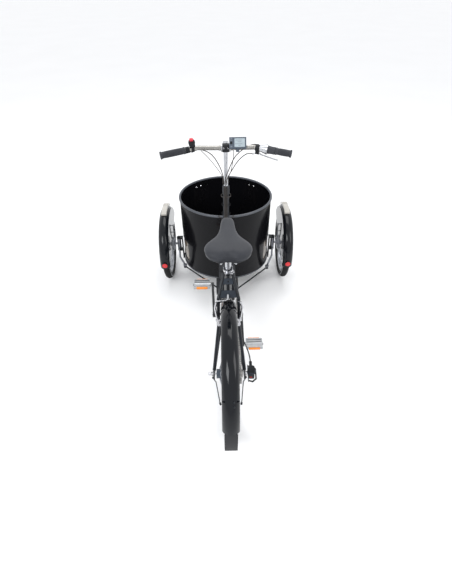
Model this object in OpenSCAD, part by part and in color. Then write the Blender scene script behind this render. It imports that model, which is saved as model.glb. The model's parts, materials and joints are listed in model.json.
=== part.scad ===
// Adult cargo tricycle: a round tub between two steered front wheels, one driven rear wheel.
// Millimetres. +Y is forward, +X is to the rider's right, +Z is up. The origin is on the ground,
// under the middle of the whole machine. Inside the modules, y is measured from the rear axle
// and z from the ground; placed() shifts them to the origin.

/* [Wheels] */
// Distance between the rear axle and the front axles
wheelbase = 1200; // [1150:5:1260]
// Distance between the front wheels' centre planes
track = 820; // [800:5:860]
// Radius of the rear tyre
rear_r = 330; // [326:1:334]
// Radius of a front tyre
front_r = 250; // [246:1:254]
// Width of the rear tyre
rear_tyre_w = 50; // [46:1:52]
// Width of a front tyre
front_tyre_w = 46; // [42:1:48]
// Spokes in the rear wheel
rear_spokes = 36; // [28:4:36]
// Spokes in a front wheel
front_spokes = 28; // [20:4:36]

/* [Tub] */
// Width of the tub over its rim
tub_w = 600; // [590:1:606]
// Length of the tub over its rim
tub_l = 557; // [545:1:565]
// Centre of the tub, forward of the rear axle
tub_y = 1159; // [1155:1:1163]
// Height of the tub's rim
tub_top = 651; // [600:1:700]
// Height of the tub's lower edge
tub_bottom = 172; // [170:1:176]

/* [Rider] */
// Height of the saddle's top
saddle_top = 943; // [930:1:960]
// Width of the saddle
saddle_w = 192; // [180:1:200]
// Length of the saddle
saddle_l = 300; // [290:1:305]
// Half of the handlebar's width
bar_half = 311; // [300:1:320]
// Height of the handlebar's ends
bar_end_z = 1078; // [1070:1:1085]
// Crank length, from axle to pedal
crank_l = 170; // [165:1:172]
// How far the left crank points up from straight forward
crank_turn = 38; // [30:1:45]

/* [Steering] */
// Steering column, forward of the rear axle
column_y = 850; // [846:1:851]
// Kingpin, out from the middle
kingpin_x = 335; // [333:1:337]
// Length of the steering arms, rearward
arm_back = 110; // [105:1:115]
// How far the steering arms lean inward
arm_in = 40; // [36:1:44]

/* [Hidden] */

$fn = 48;
fit = 0.05;                        // radial clearance of a running fit
gap = 0.3;                         // clearance between separate pieces

flap_r = rear_r + 12;              // radius of the mud flap's outer face
rear_y = -(wheelbase + front_r - flap_r) / 2;

// Frame points, from the rear axle
bb = [0, 430, 292];
seat_lean = 22;                    // seat tube, back from vertical
seat_tube_l = 520;
stay_low = [71, 8, rear_r + 15];
stay_boss = [46.5, 105, 540];
stay_top = [45, 165, 655];
stay_end = [20, 238, 736];
stay_r = 7.5;
boss = [43, 113, 556];             // a brake arm's pivot
brake_turn = atan2(stay_top[1] - stay_boss[1], stay_top[2] - stay_boss[2]);
brake_n = [0, -cos(brake_turn), sin(brake_turn)];  // out of the brake's plane, rearward

beam_z = 145;
arm_z = [135, 143];                // the column's lever
arm_t = 8;
function rod_z(s) = s < 0 ? 126 : 104;  // the right track rod runs under the left one
axle_l = 99;
chain_x = 52;
ring_r = 78;
sprocket_r = 39;
column_top = 845;
column_r = 17.5;
bar_y = 786;
bar_z = 1088;
bar_r = 11.1;
bar_bend = [138, bar_y - 10, bar_z + 5];
bar_end = [bar_half, bar_y - 62, bar_end_z];

// ---------- helpers ----------

module placed() translate([0, rear_y, 0]) children();

module side(s) {
    if (s < 0) mirror([1, 0, 0]) children();
    else children();
}

// Turns +Z onto the line from a to b, at a
module along(a, b) {
    d = b - a;
    translate(a) rotate([0, acos(d[2] / norm(d)), atan2(d[1], d[0])]) children();
}

module rod(a, b, r) along(a, b) cylinder(h = norm(b - a), r = r);

// A tube bent at each inner point
module pipe(points, r) {
    for (i = [0:len(points) - 2]) rod(points[i], points[i + 1], r);
    for (i = [1:1:len(points) - 2]) translate(points[i]) sphere(r + 0.08);
}

// A turned shape around the X axis, from a profile of [radius, x]
module turned_x() rotate([0, 90, 0]) rotate_extrude($fn = 96) children();

// An arc about the X axis; angles run from forward, over the top, to the rear
module wheel_arc(from, to)
    rotate([90, 0, 90]) rotate([0, 0, from])
        rotate_extrude(angle = to - from, $fn = 96) children();

module x_cylinder(h, r, x = 0) translate([x, 0, 0]) rotate([0, 90, 0]) cylinder(h = h, r = r);

// A profile carried round the tub: four arcs, chosen by index
function tub_shift() = (tub_w - tub_l) / 2 / (2 - sqrt(2));
module tub_arc(i, inset) {
    c = tub_shift();
    long = i % 2 == 1;
    radius = long ? tub_l / 2 + c : tub_w / 2 - c;
    centre = long ? [0, i == 1 ? -c : c, 0] : [i == 0 ? c : -c, 0, 0];
    translate([0, tub_y, 0]) translate(centre) rotate([0, 0, i * 90 - 45])
        rotate_extrude(angle = 90, $fn = 160) translate([radius - inset, 0]) children();
}

// The outline of the tub, moved in by d
module tub_outline(d) {
    c = tub_shift();
    short = tub_w / 2 - c - d;
    long = tub_l / 2 + c - d;
    points = concat(
        [for (a = [-45:5:45]) [c + short * cos(a), short * sin(a)]],
        [for (a = [50:5:130]) [long * cos(a), -c + long * sin(a)]],
        [for (a = [135:5:225]) [-c + short * cos(a), short * sin(a)]],
        [for (a = [230:5:310]) [long * cos(a), c + long * sin(a)]]);
    translate([0, tub_y]) polygon(points);
}

// A cable: rings carried along smooth points, as one closed mesh
function mid(p, i, t) =
    let(a = p[max(i - 1, 0)], b = p[i], c = p[i + 1], d = p[min(i + 2, len(p) - 1)])
    0.5 * (2 * b + (c - a) * t + (2 * a - 5 * b + 4 * c - d) * t * t
        + (3 * b - a - 3 * c + d) * t * t * t);
function smooth(p, n) = concat([for (i = [0:len(p) - 2], k = [0:n - 1]) mid(p, i, k / n)],
    [p[len(p) - 1]]);
function unit(v) = v / norm(v);
function heading(q, i) = unit(q[min(i + 1, len(q) - 1)] - q[max(i - 1, 0)]);
module cable(points, r, n = 3, around = [1, 0, 0]) {
    q = smooth(points, n);
    sides = 8;
    rings = [for (i = [0:len(q) - 1])
        let(h = heading(q, i), u = unit(cross(h, around)), w = cross(h, u))
        for (k = [0:sides - 1]) q[i] + r * (u * cos(k * 45) + w * sin(k * 45))];
    last = (len(q) - 1) * sides;
    faces = concat([[for (k = [0:sides - 1]) k]],
        [for (i = [0:len(q) - 2], k = [0:sides - 1])
            [i * sides + k, (i + 1) * sides + k, (i + 1) * sides + (k + 1) % sides,
                i * sides + (k + 1) % sides]],
        [[for (k = [sides - 1:-1:0]) last + k]]);
    polyhedron(rings, faces, convexity = 6);
}

// ---------- tub ----------

wall_t = 3;
hoop_r = 7;
wall_in = hoop_r - wall_t / 2;     // the wall hangs under the middle of the hoop
wall_low = tub_bottom + 10;
wall_high = tub_top - 2 * hoop_r;
floor_z = 206;
rail_x = 150;
rail_z = 192;
window_z = [226, 372];
window_half = 33;                  // half angle of a window, on the side arcs

module wall_profile() translate([-wall_t, wall_low]) square([wall_t, wall_high - wall_low]);

module window_cut(grow) {
    c = tub_shift();
    for (s = [-1, 1]) translate([s * c, tub_y, window_z[0] - grow])
        rotate([0, 0, (s < 0 ? 180 : 0) - window_half])
            rotate_extrude(angle = 2 * window_half, $fn = 160)
                translate([tub_w / 2 - c - 30, 0])
                    square([40, window_z[1] - window_z[0] + 2 * grow]);
}

module tub_rear_wall() color("#101114") difference() {
    union() for (i = [0, 2, 3]) tub_arc(i, wall_in) wall_profile();
    window_cut(0);
}

module tub_front_wall() color("#101114") tub_arc(1, wall_in) wall_profile();

module tub_floor() color("#17181a") translate([0, 0, floor_z])
    linear_extrude(6) tub_outline(wall_in + wall_t + gap);

module tub_hoops() color("#55585e") {
    for (i = [0:3]) tub_arc(i, hoop_r) translate([0, tub_top - hoop_r]) circle(hoop_r, $fn = 32);
    for (i = [0:3]) tub_arc(i, hoop_r) translate([0, tub_bottom + 5]) circle(4.9, $fn = 32);
    for (x = [-rail_x, rail_x]) {
        rod([x, tub_y - 221, rail_z], [x, tub_y + 221, rail_z], 9);
        for (s = [-1, 1]) translate([x, tub_y + s * 225, tub_bottom + 2])
            cylinder(h = rail_z - tub_bottom, r = 4.5);
    }
}

module tub_windows() color("#6b6258", 0.5) {
    c = tub_shift();
    for (s = [-1, 1]) translate([s * c, tub_y, window_z[0] - 9])
        rotate([0, 0, (s < 0 ? 180 : 0) - window_half - 2])
            rotate_extrude(angle = 2 * window_half + 4, $fn = 160)
                translate([tub_w / 2 - c - wall_in - wall_t - 2.1, 0])
                    square([2, window_z[1] - window_z[0] + 18]);
}

// Four round-headed bolts inside the front wall
module tub_bolts() color("silver") {
    for (s = [-1, 1], a = [50, 57]) translate([0, tub_y - tub_shift(), tub_top - 46])
        rotate([0, 0, 90 + s * (90 - a)]) rotate([0, 90, 0])
            translate([0, 0, tub_l / 2 + tub_shift() - wall_in - wall_t - 4.2])
                cylinder(h = 4, r1 = 3.5, r2 = 6);
}

// ---------- frame ----------

yoke_x = [306, 314];
yoke_z = [[195, 207], [293, 305]];

module front_beam() color("#1b1c1f") {
    rod([-yoke_x[0], wheelbase, beam_z], [yoke_x[0], wheelbase, beam_z], 18);
    for (s = [-1, 1]) side(s) {
        translate([yoke_x[0], wheelbase - 16, 128]) cube([8, 32, yoke_z[1][1] - 128]);
        for (z = yoke_z) {
            translate([yoke_x[0], wheelbase - 15, z[0]])
                cube([kingpin_x - yoke_x[0], 30, z[1] - z[0]]);
            translate([kingpin_x, wheelbase, z[0]]) cylinder(h = z[1] - z[0], r = 15);
        }
        translate([kingpin_x, wheelbase, yoke_z[0][0] - 6])
            cylinder(h = yoke_z[1][1] - yoke_z[0][0] + 12, r = 7);
        translate([rail_x - 12, wheelbase - 14, beam_z + 8]) cube([24, 28, rail_z - 17 - beam_z]);
    }
}

module column_tube() color("#141518") translate([0, column_y, 0]) {
    difference() {
        union() {
            translate([0, 0, 158]) cylinder(h = column_top - 158, r = column_r);
            translate([0, 0, 158]) cylinder(h = 24, r = 21);
            translate([0, 0, column_top - 26]) cylinder(h = 26, r = 20);
            for (s = [-1, 1], z = [tub_top - hoop_r, 240]) side(s)
                translate([10, -8, z - 6]) cube([18, 16, 12]);
        }
        translate([0, 0, 150]) cylinder(h = column_top, r = 14 + fit);
    }
}

module seat_axis() translate(bb) rotate([seat_lean, 0, 0]) children();

tray_low = 310;
battery_y = 505;
battery_z = 372;

// Bottom bracket, seat tube, main tube and the battery's tray
module main_frame() color("#15161a") difference() {
    union() {
        x_cylinder_at(bb, 68, 21);
        seat_axis() cylinder(h = seat_tube_l, r = 17.25);
        rod(bb + [0, 10, 6], [0, column_y - 30, 330], 24);
        translate([0, column_y - 42, 306]) cube_x(44, 20, 60);
        translate([0, battery_y + 5, tray_low]) cube_x(40, 230, battery_z - gap - tray_low);
    }
    x_cylinder_at(bb, 70, 17);
    seat_axis() translate([0, 0, 240]) cylinder(h = seat_tube_l, r = 13.6 + fit);
    translate([0, column_y, 300]) cylinder(h = 80, r = column_r + 0.02);
}

module cube_x(w, d, h) translate([-w / 2, 0, 0]) cube([w, d, h]);
module x_cylinder_at(p, w, r) translate(p) x_cylinder(w, r, -w / 2);

// Chain stays, seat stays, dropouts, brake bosses and the two plates between the stays
module rear_triangle() color("#15161a") difference() {
    union() {
        for (s = [-1, 1]) side(s) {
            pipe([[30, 404, 292], [41, 335, 297], [71, 24, 327]], 8.5);
            pipe([stay_low, stay_boss, stay_top, stay_end], stay_r);
            translate([68, -18, rear_r - 22]) cube([6, 48, 46]);
            rod(boss, boss + brake_n * 9.5, 7);
            rod(boss, boss + brake_n * 24, 4);
        }
        stay_plate(3, 34, 33, 25);
        stay_plate(62, 28, 21, 16);
        translate([-38, 350, 287]) cube([76, 12, 10]);
    }
    for (s = [-1, 1]) side(s) translate([0, 0, rear_r]) x_cylinder(30, 5 + fit, 60);
    for (s = [-1, 1]) side(s) translate([0, -12, rear_r - 14]) x_cylinder(30, 2.6, 60);
    plate_frame() translate([0, 76, -10]) cylinder(h = 20, r = 4.5);
    seat_axis() cylinder(h = seat_tube_l + 5, r = 17.27);
    x_cylinder_at(bb, 90, 21.02);
}

// The plane through both seat stays above the brake: x across, y up along the stays
module plate_frame()
    translate([0, stay_top[1], stay_top[2]])
        rotate([atan2(stay_end[2] - stay_top[2], stay_end[1] - stay_top[1]), 0, 0]) children();

module stay_plate(start, length, low_half, high_half)
    plate_frame() translate([0, 0, -2]) linear_extrude(4)
        polygon([[-low_half - 8, start], [low_half + 8, start],
            [high_half + 4, start + length], [-high_half - 4, start + length]]);

module seat_clamp() color("silver") seat_axis() {
    difference() {
        union() {
            translate([0, 0, seat_tube_l - 17]) cylinder(h = 16, r = 22);
            translate([-9, -32, seat_tube_l - 17]) cube([18, 16, 16]);
        }
        translate([0, 0, seat_tube_l - 20]) cylinder(h = 30, r = 17.3);
        translate([-1.5, -40, seat_tube_l - 20]) cube([3, 26, 30]);
    }
    for (s = [-1, 1]) side(s) translate([9.1, -25, seat_tube_l - 9]) x_cylinder(s < 0 ? 6 : 12, 5);
}

module rear_axle() color("silver") translate([0, 0, rear_r]) {
    x_cylinder(2 * axle_l - 12, 5, -axle_l);
    for (s = [-1, 1]) side(s) {
        x_cylinder(3, 11, 64.5);
        x_cylinder(2, 12, 74.2);
        translate([76.3, 0, 0]) rotate([0, 90, 0]) cylinder(h = 9, r = 9.5, $fn = 6);
    }
    translate([-93, 0, 0]) x_cylinder(7.5, 8);
    translate([-93, 0, 0]) sphere(8);
}

// Shift box on the right axle end, with the steel hoop that guards it
module click_box() color("#1d1f22") translate([0, 0, rear_r]) {
    difference() {
        union() {
            translate([88.2, -16, -22]) cube([28, 40, 40]);
            translate([88.2, 4, 18]) x_cylinder(28, 20);
            rod([102, 20, 0], [102, 62, 6], 7);
        }
        x_cylinder(4, 8, 87);
    }
    difference() {
        translate([85.5, -44, -7]) cube([2.5, 88, 14]);
        x_cylinder(10, 5.3, 80);
    }
    pipe([[86.5, 40, 0], [112, 40, 0], [123, 24, -2], [123, -30, -2], [106, -46, -2],
        [86.5, -40, 0]], 3.6);
}

// ---------- drive ----------

// The loop of a chain round two wheels, grown by d
function belt_angle(r1, r2, dist) = acos((r1 - r2) / dist);
module belt(r1, r2, c2) {
    dist = norm(c2);
    a = belt_angle(r1, r2, dist);
    turn = atan2(c2[1], c2[0]);
    polygon(concat(
        [for (t = [a:(360 - 2 * a) / 30:360 - a + 0.01]) r1 * [cos(t + turn), sin(t + turn)]],
        [for (t = [-a:2 * a / 20:a + 0.01]) c2 + r2 * [cos(t + turn), sin(t + turn)]]));
}

module chain() color("#4b4d50") translate([chain_x + 3.5, 0, 0]) rotate([0, -90, 0])
    linear_extrude(7) difference() {
        chain_path(9);
        chain_path(1);
    }

module chain_path(d)
    translate([bb[2], bb[1]]) belt(ring_r + d, sprocket_r + d, [rear_r - bb[2], -bb[1]]);

// A toothed wheel in the YZ plane
module teeth(n, r, thick) rotate([0, -90, 0]) linear_extrude(thick)
    polygon([for (i = [0:n - 1], k = [0:3])
        let(t = (i + [-0.32, -0.12, 0.12, 0.32][k]) * 360 / n, q = k % 3 == 0 ? r - 5 : r)
        [q * cos(t), q * sin(t)]]);

module sprocket() color("#3c3e41") translate([0, 0, rear_r]) difference() {
    union() {
        translate([chain_x + 1, 0, 0]) teeth(19, sprocket_r, 2);
        x_cylinder(22, 19, 41);
    }
    x_cylinder(80, 5 + fit, 20);
}

module crank_place(turn) translate(bb) rotate([turn, 0, 0]) children();

module chainring() color("#2a2c2f") crank_place(0) difference() {
    union() {
        translate([chain_x + 1, 0, 0]) teeth(38, ring_r, 2.4);
        x_cylinder(2.5, 96, chain_x + 9);
        for (i = [0:4]) rotate([i * 72 + 3, 0, 0])
            translate([chain_x - 0.5, 0, 64]) x_cylinder(13.5, 5);
        x_cylinder(15, 24, chain_x - 1);
    }
    x_cylinder(30, 8.02, chain_x - 8);
    for (i = [0:4]) rotate([i * 72 + 39, 0, 0]) translate([0, 0, 45]) x_cylinder(90, 14);
}

module crank_arm() {
    difference() {
        union() {
            x_cylinder(17, 17, 67);
            hull() {
                translate([70, 0, 10]) x_cylinder(13, 14);
                translate([76, 0, crank_l]) x_cylinder(13, 12);
            }
        }
        translate([0, 0, crank_l]) x_cylinder(30, 7.1, 65);
        x_cylinder(12, 8.2, 66);
    }
}

module crank_right() color("#1b1c1e") crank_place(90 + crank_turn) {
    crank_arm();
    x_cylinder(146, 8, -67);
}

module crank_left() color("#1b1c1e") crank_place(crank_turn - 90) mirror([1, 0, 0]) crank_arm();

function pedal_at(s) = bb + crank_l * s * [0, -cos(crank_turn), -sin(crank_turn)];

pedal_half = 30;                   // half of a cage's length

// A cage pedal: axle, body, two toothed side plates and an amber reflector at each end
module pedal(s) color("#b9bcc0") translate(pedal_at(s)) side(s) {
    difference() {
        union() {
            x_cylinder(96, 13, 93);
            for (x = [97, 185]) translate([x, -pedal_half, -3]) cube([3, 2 * pedal_half, 16]);
            for (y = [-pedal_half - 3, pedal_half - 6]) translate([97, y, -3]) cube([91, 9, 16]);
            for (y = [-19, 12]) translate([100, y, -2]) cube([85, 7, 12]);
            for (x = [104:12:180], y = [-pedal_half - 2, pedal_half - 1])
                translate([x, y, 13]) cube([5, 3, 3]);
        }
        x_cylinder(120, 4.5 + fit, 80);
    }
    for (y = [-pedal_half - 8.2, pedal_half + 3.2]) translate([112, y, -1]) cube([60, 5, 12]);
}

// ---------- wheels ----------

module tyre_profile(r, w, rim_r) difference() {
    translate([r - w / 2, 0]) circle(w / 2);
    translate([r - w / 2, 0]) circle(w / 2 - 3.5);
    translate([rim_r - 60, -13.3]) square([60.3, 26.6]);
}

module rim_profile(rim_r) polygon([[rim_r, -13], [rim_r, -10.5], [rim_r - 10, -10.5],
    [rim_r - 10, 10.5], [rim_r, 10.5], [rim_r, 13], [rim_r - 14, 13], [rim_r - 18, 7],
    [rim_r - 18, -7], [rim_r - 14, -13]]);

// Crossed spokes from two flanges: flange = [x, radius] for each side
module spoke_set(count, rim_r, flanges)
    for (i = [0:count - 1]) {
        f = flanges[i % 2];
        lean = (floor(i / 2) % 2 == 0 ? 1 : -1) * 62;
        a = i * 360 / count;
        rod([f[0], f[1] * cos(a + lean), f[1] * sin(a + lean)],
            [0, (rim_r - 16) * cos(a), (rim_r - 16) * sin(a)], 1.1, $fn = 8);
    }

rear_rim_r = 286;
front_rim_r = 210;

module rear_tyre() color("#1a1a1b") translate([0, 0, rear_r])
    turned_x() tyre_profile(rear_r, rear_tyre_w, rear_rim_r);

module rear_rim() color("#a9abad") translate([0, 0, rear_r]) {
    turned_x() rim_profile(rear_rim_r);
    spoke_set(rear_spokes, rear_rim_r, [[-42.2, 37], [35.2, 37]]);
}

module rear_hub() color("#3a3f46") translate([0, 0, rear_r]) difference() {
    union() {
        x_cylinder(82, 33, -45);
        x_cylinder(3, 41, -39);
        x_cylinder(3, 41, 29);
        x_cylinder(16, 22, -60);
    }
    x_cylinder(140, 5 + fit, -70);
}

// The kingpin knuckle: barrel, spindle, brake plate, steering arm and fender post
module knuckle(s) color("#8c9094") side(s) {
    spindle = [kingpin_x, wheelbase, front_r];
    plate_x = track / 2 - 42;
    arm_low = rod_z(s) + 9;
    difference() {
        union() {
            translate([kingpin_x, wheelbase, yoke_z[0][1] + 0.5])
                cylinder(h = yoke_z[1][0] - yoke_z[0][1] - 1, r = 14);
            rod(spindle, [track / 2 + 34, wheelbase, front_r], 7.5);
            translate([plate_x, wheelbase, front_r]) x_cylinder(5, 47);
            translate([plate_x - 8, wheelbase, front_r]) x_cylinder(9, 20);
            translate([plate_x - 7, wheelbase + 26, front_r + 14]) x_cylinder(8, 6);
            translate([plate_x - 10, wheelbase - 28, front_r + 10]) x_cylinder(11, 8);
            pipe([[kingpin_x, wheelbase - 8, 216], [kingpin_x, wheelbase - 27, 214],
                [kingpin_x, wheelbase - 34, 153],
                [kingpin_x - arm_in, wheelbase - arm_back, arm_low + arm_t / 2]], 6.5);
            translate([kingpin_x - arm_in, wheelbase - arm_back, arm_low])
                cylinder(h = arm_t, r = 13);
        }
        translate([kingpin_x, wheelbase, 180]) cylinder(h = 140, r = 7 + fit);
        for (z = [arm_low - 20, arm_low + arm_t]) translate([kingpin_x - arm_in,
            wheelbase - arm_back, z]) cylinder(h = 20, r = 15);
    }
    translate([track / 2 + 33.9, wheelbase, front_r]) x_cylinder(1.6, 11);
    pipe([[plate_x + 1, wheelbase, front_r + 40], [plate_x - 3, wheelbase, front_r + 90],
        [plate_x - 3, wheelbase, front_r + 155]], 4);
    for (z = [95, 150]) translate([plate_x - 3, wheelbase, front_r + z])
        x_cylinder(track / 2 - skirt_in - plate_x + 2.98, 3);
}

// Rim, spokes and drum hub of a front wheel, as one wheel
module front_wheel(s) color("#b4b6b8") side(s) translate([track / 2, wheelbase, front_r]) {
    turned_x() rim_profile(front_rim_r);
    spoke_set(front_spokes, front_rim_r, [[-32.5, 50], [28, 29]]);
    difference() {
        union() {
            x_cylinder(31, 48, -36);
            x_cylinder(3, 54, -34);
            x_cylinder(36, 20, -6);
            x_cylinder(3, 33, 26.5);
        }
        x_cylinder(80, 7.5 + fit, -40);
        x_cylinder(10, 44, -36.1);
    }
}

module front_tyre(s) color("#1a1a1b") side(s) translate([track / 2, wheelbase, front_r])
    turned_x() tyre_profile(front_r, front_tyre_w, front_rim_r);

// ---------- fenders ----------

// Curved strip in cross-section: the outer half of a thin tube, cut off at the edges
module fender_profile(outer_r, curve_r, half_w, thick = 2) difference() {
    translate([outer_r - curve_r, 0]) circle(curve_r, $fn = 64);
    translate([outer_r - curve_r, 0]) circle(curve_r - thick, $fn = 64);
    translate([0, -2 * curve_r]) square([outer_r - curve_r
        + sqrt(curve_r * curve_r - half_w * half_w), 4 * curve_r]);
}

fender_front = 24;
fender_back = 169;
fender_outer = rear_r + 17.5;
stay_angle = 145;

module rear_fender() color("#0e0f12") translate([0, 0, rear_r])
    wheel_arc(fender_front, fender_back) fender_profile(fender_outer, 38, 35);

module mud_flap() color("#17181a") translate([0, 0, rear_r])
    wheel_arc(fender_back + 0.1, 192) translate([flap_r - 3, -27]) square([3, 54]);

function on_fender(r, a, x) = [x, r * cos(a), rear_r + r * sin(a)];

module fender_stays() color("#2b2c2e") {
    for (s = [-1, 1]) side(s) {
        pipe([[79, -12, rear_r - 14], [62, -60, rear_r + 20],
            on_fender(fender_outer - 14, stay_angle, 41)], 2.2);
        translate([74.2, -12, rear_r - 14]) x_cylinder(7, 5);
        along(on_fender(fender_outer - 14, stay_angle, 41),
            on_fender(fender_outer + 2, stay_angle, 38.5)) cylinder(h = 12, r = 4);
    }
    for (a = [stay_angle - 1, stay_angle + 2]) along(on_fender(fender_outer + 0.2, a, 12),
        on_fender(fender_outer + 4, a, 12)) cylinder(h = 2.2, r1 = 4.2, r2 = 2.6);
}

front_fender_outer = front_r + 19;
skirt_in = 33;                     // from the wheel's middle plane to the skirt's inner face
lamp_angle = [78, 56];

// The strip over a front wheel with the flat skirt on its inner side
module front_fender(s) color("#0e0f12") side(s) translate([track / 2, wheelbase, front_r]) {
    wheel_arc(30, 186) fender_profile(front_fender_outer, 36, skirt_in);
    intersection() {
        wheel_arc(30, 186) translate([60, -skirt_in]) square([front_fender_outer - 74, 2]);
        translate([-50, -300, 0]) rotate([8, 0, 0]) cube([60, 700, 400]);
    }
}

// Pale lamp on top of the fender and the round red reflector at its rear end
module fender_lights(s) color("#d9d4c6") side(s) translate([track / 2, wheelbase, front_r]) {
    wheel_arc(lamp_angle[1], lamp_angle[0])
        translate([front_fender_outer + gap, -18]) square([13, 36]);
    translate([0, -front_fender_outer - 0.4, 8]) rotate([90, 0, 0]) cylinder(h = 7, r = 15);
}

// ---------- steering ----------

module steering_column() color("#202124") translate([0, column_y, 0]) {
    translate([0, 0, arm_z[0]]) cylinder(h = column_top + 13 - arm_z[0], r = 14);
    translate([0, 0, column_top + gap]) cylinder(h = 12, r = 19);
    translate([0, 0, arm_z[0]]) linear_extrude(arm_z[1] - arm_z[0])
        polygon([[-16, 6], [16, 6], [arm_in + 14, -arm_back], [arm_in + 4, -arm_back - 12],
            [-arm_in - 4, -arm_back - 12], [-arm_in - 14, -arm_back]]);
    for (s = [-1, 1]) translate([-s * arm_in, -arm_back, rod_z(s) - 10])
        cylinder(h = arm_z[1] + 3 - rod_z(s) + 10, r = 5);
}

// Track rod from the column's lever to the far wheel's steering arm
module tie_rod(s) color("#2c2d30") {
    z = rod_z(s);
    inner = [-s * arm_in, column_y - arm_back, z];
    outer = [s * (kingpin_x - arm_in), wheelbase - arm_back, z];
    difference() {
        union() {
            rod(inner, outer, 5);
            for (p = [inner, outer]) translate([p[0], p[1], z - 8]) cylinder(h = 16, r = 11);
        }
        translate([inner[0], inner[1], z - 10]) cylinder(h = 20, r = 5 + fit);
        translate([outer[0], outer[1], z - 10]) cylinder(h = 20, r = 5);
    }
}

module stem() color("#c4c6c8") difference() {
    union() {
        translate([0, column_y, column_top + 13.2]) cylinder(h = 215, r = 11.1);
        translate([0, column_y, bar_z - 34]) cylinder(h = 40, r = 15);
        rod([0, column_y, bar_z - 12], [0, bar_y, bar_z], 13);
        translate([0, bar_y, bar_z]) x_cylinder(46, 18, -23);
    }
    translate([0, bar_y, bar_z]) x_cylinder(60, 12.7 + fit, -30);
}

module handlebar() color("#9a9b9d") {
    translate([0, bar_y, bar_z]) x_cylinder(70, 12.7, -35);
    for (s = [-1, 1]) side(s) pipe([[30, bar_y, bar_z], [55, bar_y, bar_z], bar_bend, bar_end],
        bar_r);
}

// A sleeve on the bar's end part: from and to are measured inward from the bar's end
module on_bar(s) side(s) along(bar_end, bar_bend) children();
module sleeve(from, to, r, r2 = undef) difference() {
    translate([0, 0, from]) cylinder(h = to - from, r1 = r, r2 = r2 == undef ? r : r2);
    translate([0, 0, from - 1]) cylinder(h = to - from + 2, r = bar_r + fit);
}

module grip_left() color("#2e3035") on_bar(-1) {
    sleeve(3, 118, 15.5);
    translate([0, 0, -3]) cylinder(h = 3, r = 17);
    sleeve(0, 3, 18);
}

module grip_right() color("#2e3035") on_bar(1) {
    sleeve(3, 74, 15.5);
    translate([0, 0, -3]) cylinder(h = 3, r = 17);
    sleeve(0, 3, 18);
}

module twist_grip() color("#33373f") on_bar(1) sleeve(75, 112, 16.5, 17.5);

module shifter_housing() color("#b8babd") on_bar(1) {
    sleeve(113, 122, 23);
    sleeve(122.1, 152, 22, 13.5);
}

pivot_x = 27;                      // from the bar's axis to a lever's pivot
function lever_tilt(s) = s < 0 ? -55 : -22;

// Clamp band and the lever's housing, in front of and under the bar
module brake_bracket(s, at) color("#1c1d20") on_bar(s) rotate([0, 0, lever_tilt(s)]) {
    difference() {
        union() {
            sleeve(at, at + 20, 15);
            translate([10, -8, at]) cube([24, 16, 19]);
        }
        translate([0, 0, at - 1]) cylinder(h = 24, r = bar_r + fit);
        translate([18, -4, at - 1]) cube([20, 8, 17]);
    }
    translate([pivot_x, 4.5, at + 8]) rotate([90, 0, 0]) cylinder(h = 9, r = 2);
}

// The lever blade hangs under and ahead of the bar, hinged on its bracket's pin
module brake_lever(s, at) color(s < 0 ? "#1a1b1d" : "#c9cbcd")
    on_bar(s) rotate([0, 0, lever_tilt(s)]) difference() {
        union() {
            translate([pivot_x, 3.8, at + 8]) rotate([90, 0, 0]) cylinder(h = 7.6, r = 5);
            pipe([[pivot_x, 0, at + 8], [pivot_x + 11, 0, at - 9], [pivot_x + 20, 0, at - 52],
                [pivot_x + 27, 0, at - 96]], 3.6);
        }
        translate([pivot_x, 9, at + 8]) rotate([90, 0, 0]) cylinder(h = 18, r = 2 + fit);
    }

module horn_body() color("#17181a") on_bar(-1) {
    sleeve(horn_at - 7, horn_at + 7, 15);
    difference() {
        rod([0, 0, horn_at] + horn_up * 14.6, [0, 0, horn_at] + horn_up * 40, 15);
        rod([0, 0, horn_at] + horn_up * 34, [0, 0, horn_at] + horn_up * 50, 10.3);
    }
}
// Straight up, in the frame of the left part of the bar
horn_up = [-1, 0, 0];
horn_travel = 3;
horn_at = 157;

module horn_button() color("#c9384a") on_bar(-1)
    rod([0, 0, horn_at] + horn_up * (34 + horn_travel + 0.5), [0, 0, horn_at] + horn_up * 47, 10);

display_c = [58, bar_y - 16, bar_z + 28];
display_tilt = 60;                 // towards the rider
module display_place() translate(display_c) rotate([display_tilt, 0, 0]) children();

module display() color("#3b4754") {
    display_place() difference() {
        translate([-41, -26, -9]) cube([82, 52, 16]);
        translate([-37, -6, 2]) cube([11, 12, 10]);
    }
    translate([display_c[0], 0, 0]) difference() {
        translate([-8, bar_y - 15, bar_z - 16]) cube([16, 31, 34]);
        bar_bed();
    }
}
module bar_bed() translate([-display_c[0], 0, 0])
    for (p = [[[30, bar_y, bar_z], [55, bar_y, bar_z]], [[55, bar_y, bar_z], bar_bend]])
        union() {
            rod(p[0], p[1], bar_r + 0.2);
            translate(p[0]) sphere(bar_r + 0.2);
        }

module mode_button() color("#1a1c1f") display_place()
    translate([-36.5, -5.5, 3.2]) cube([10, 11, 5.3]);

// ---------- cables ----------

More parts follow.
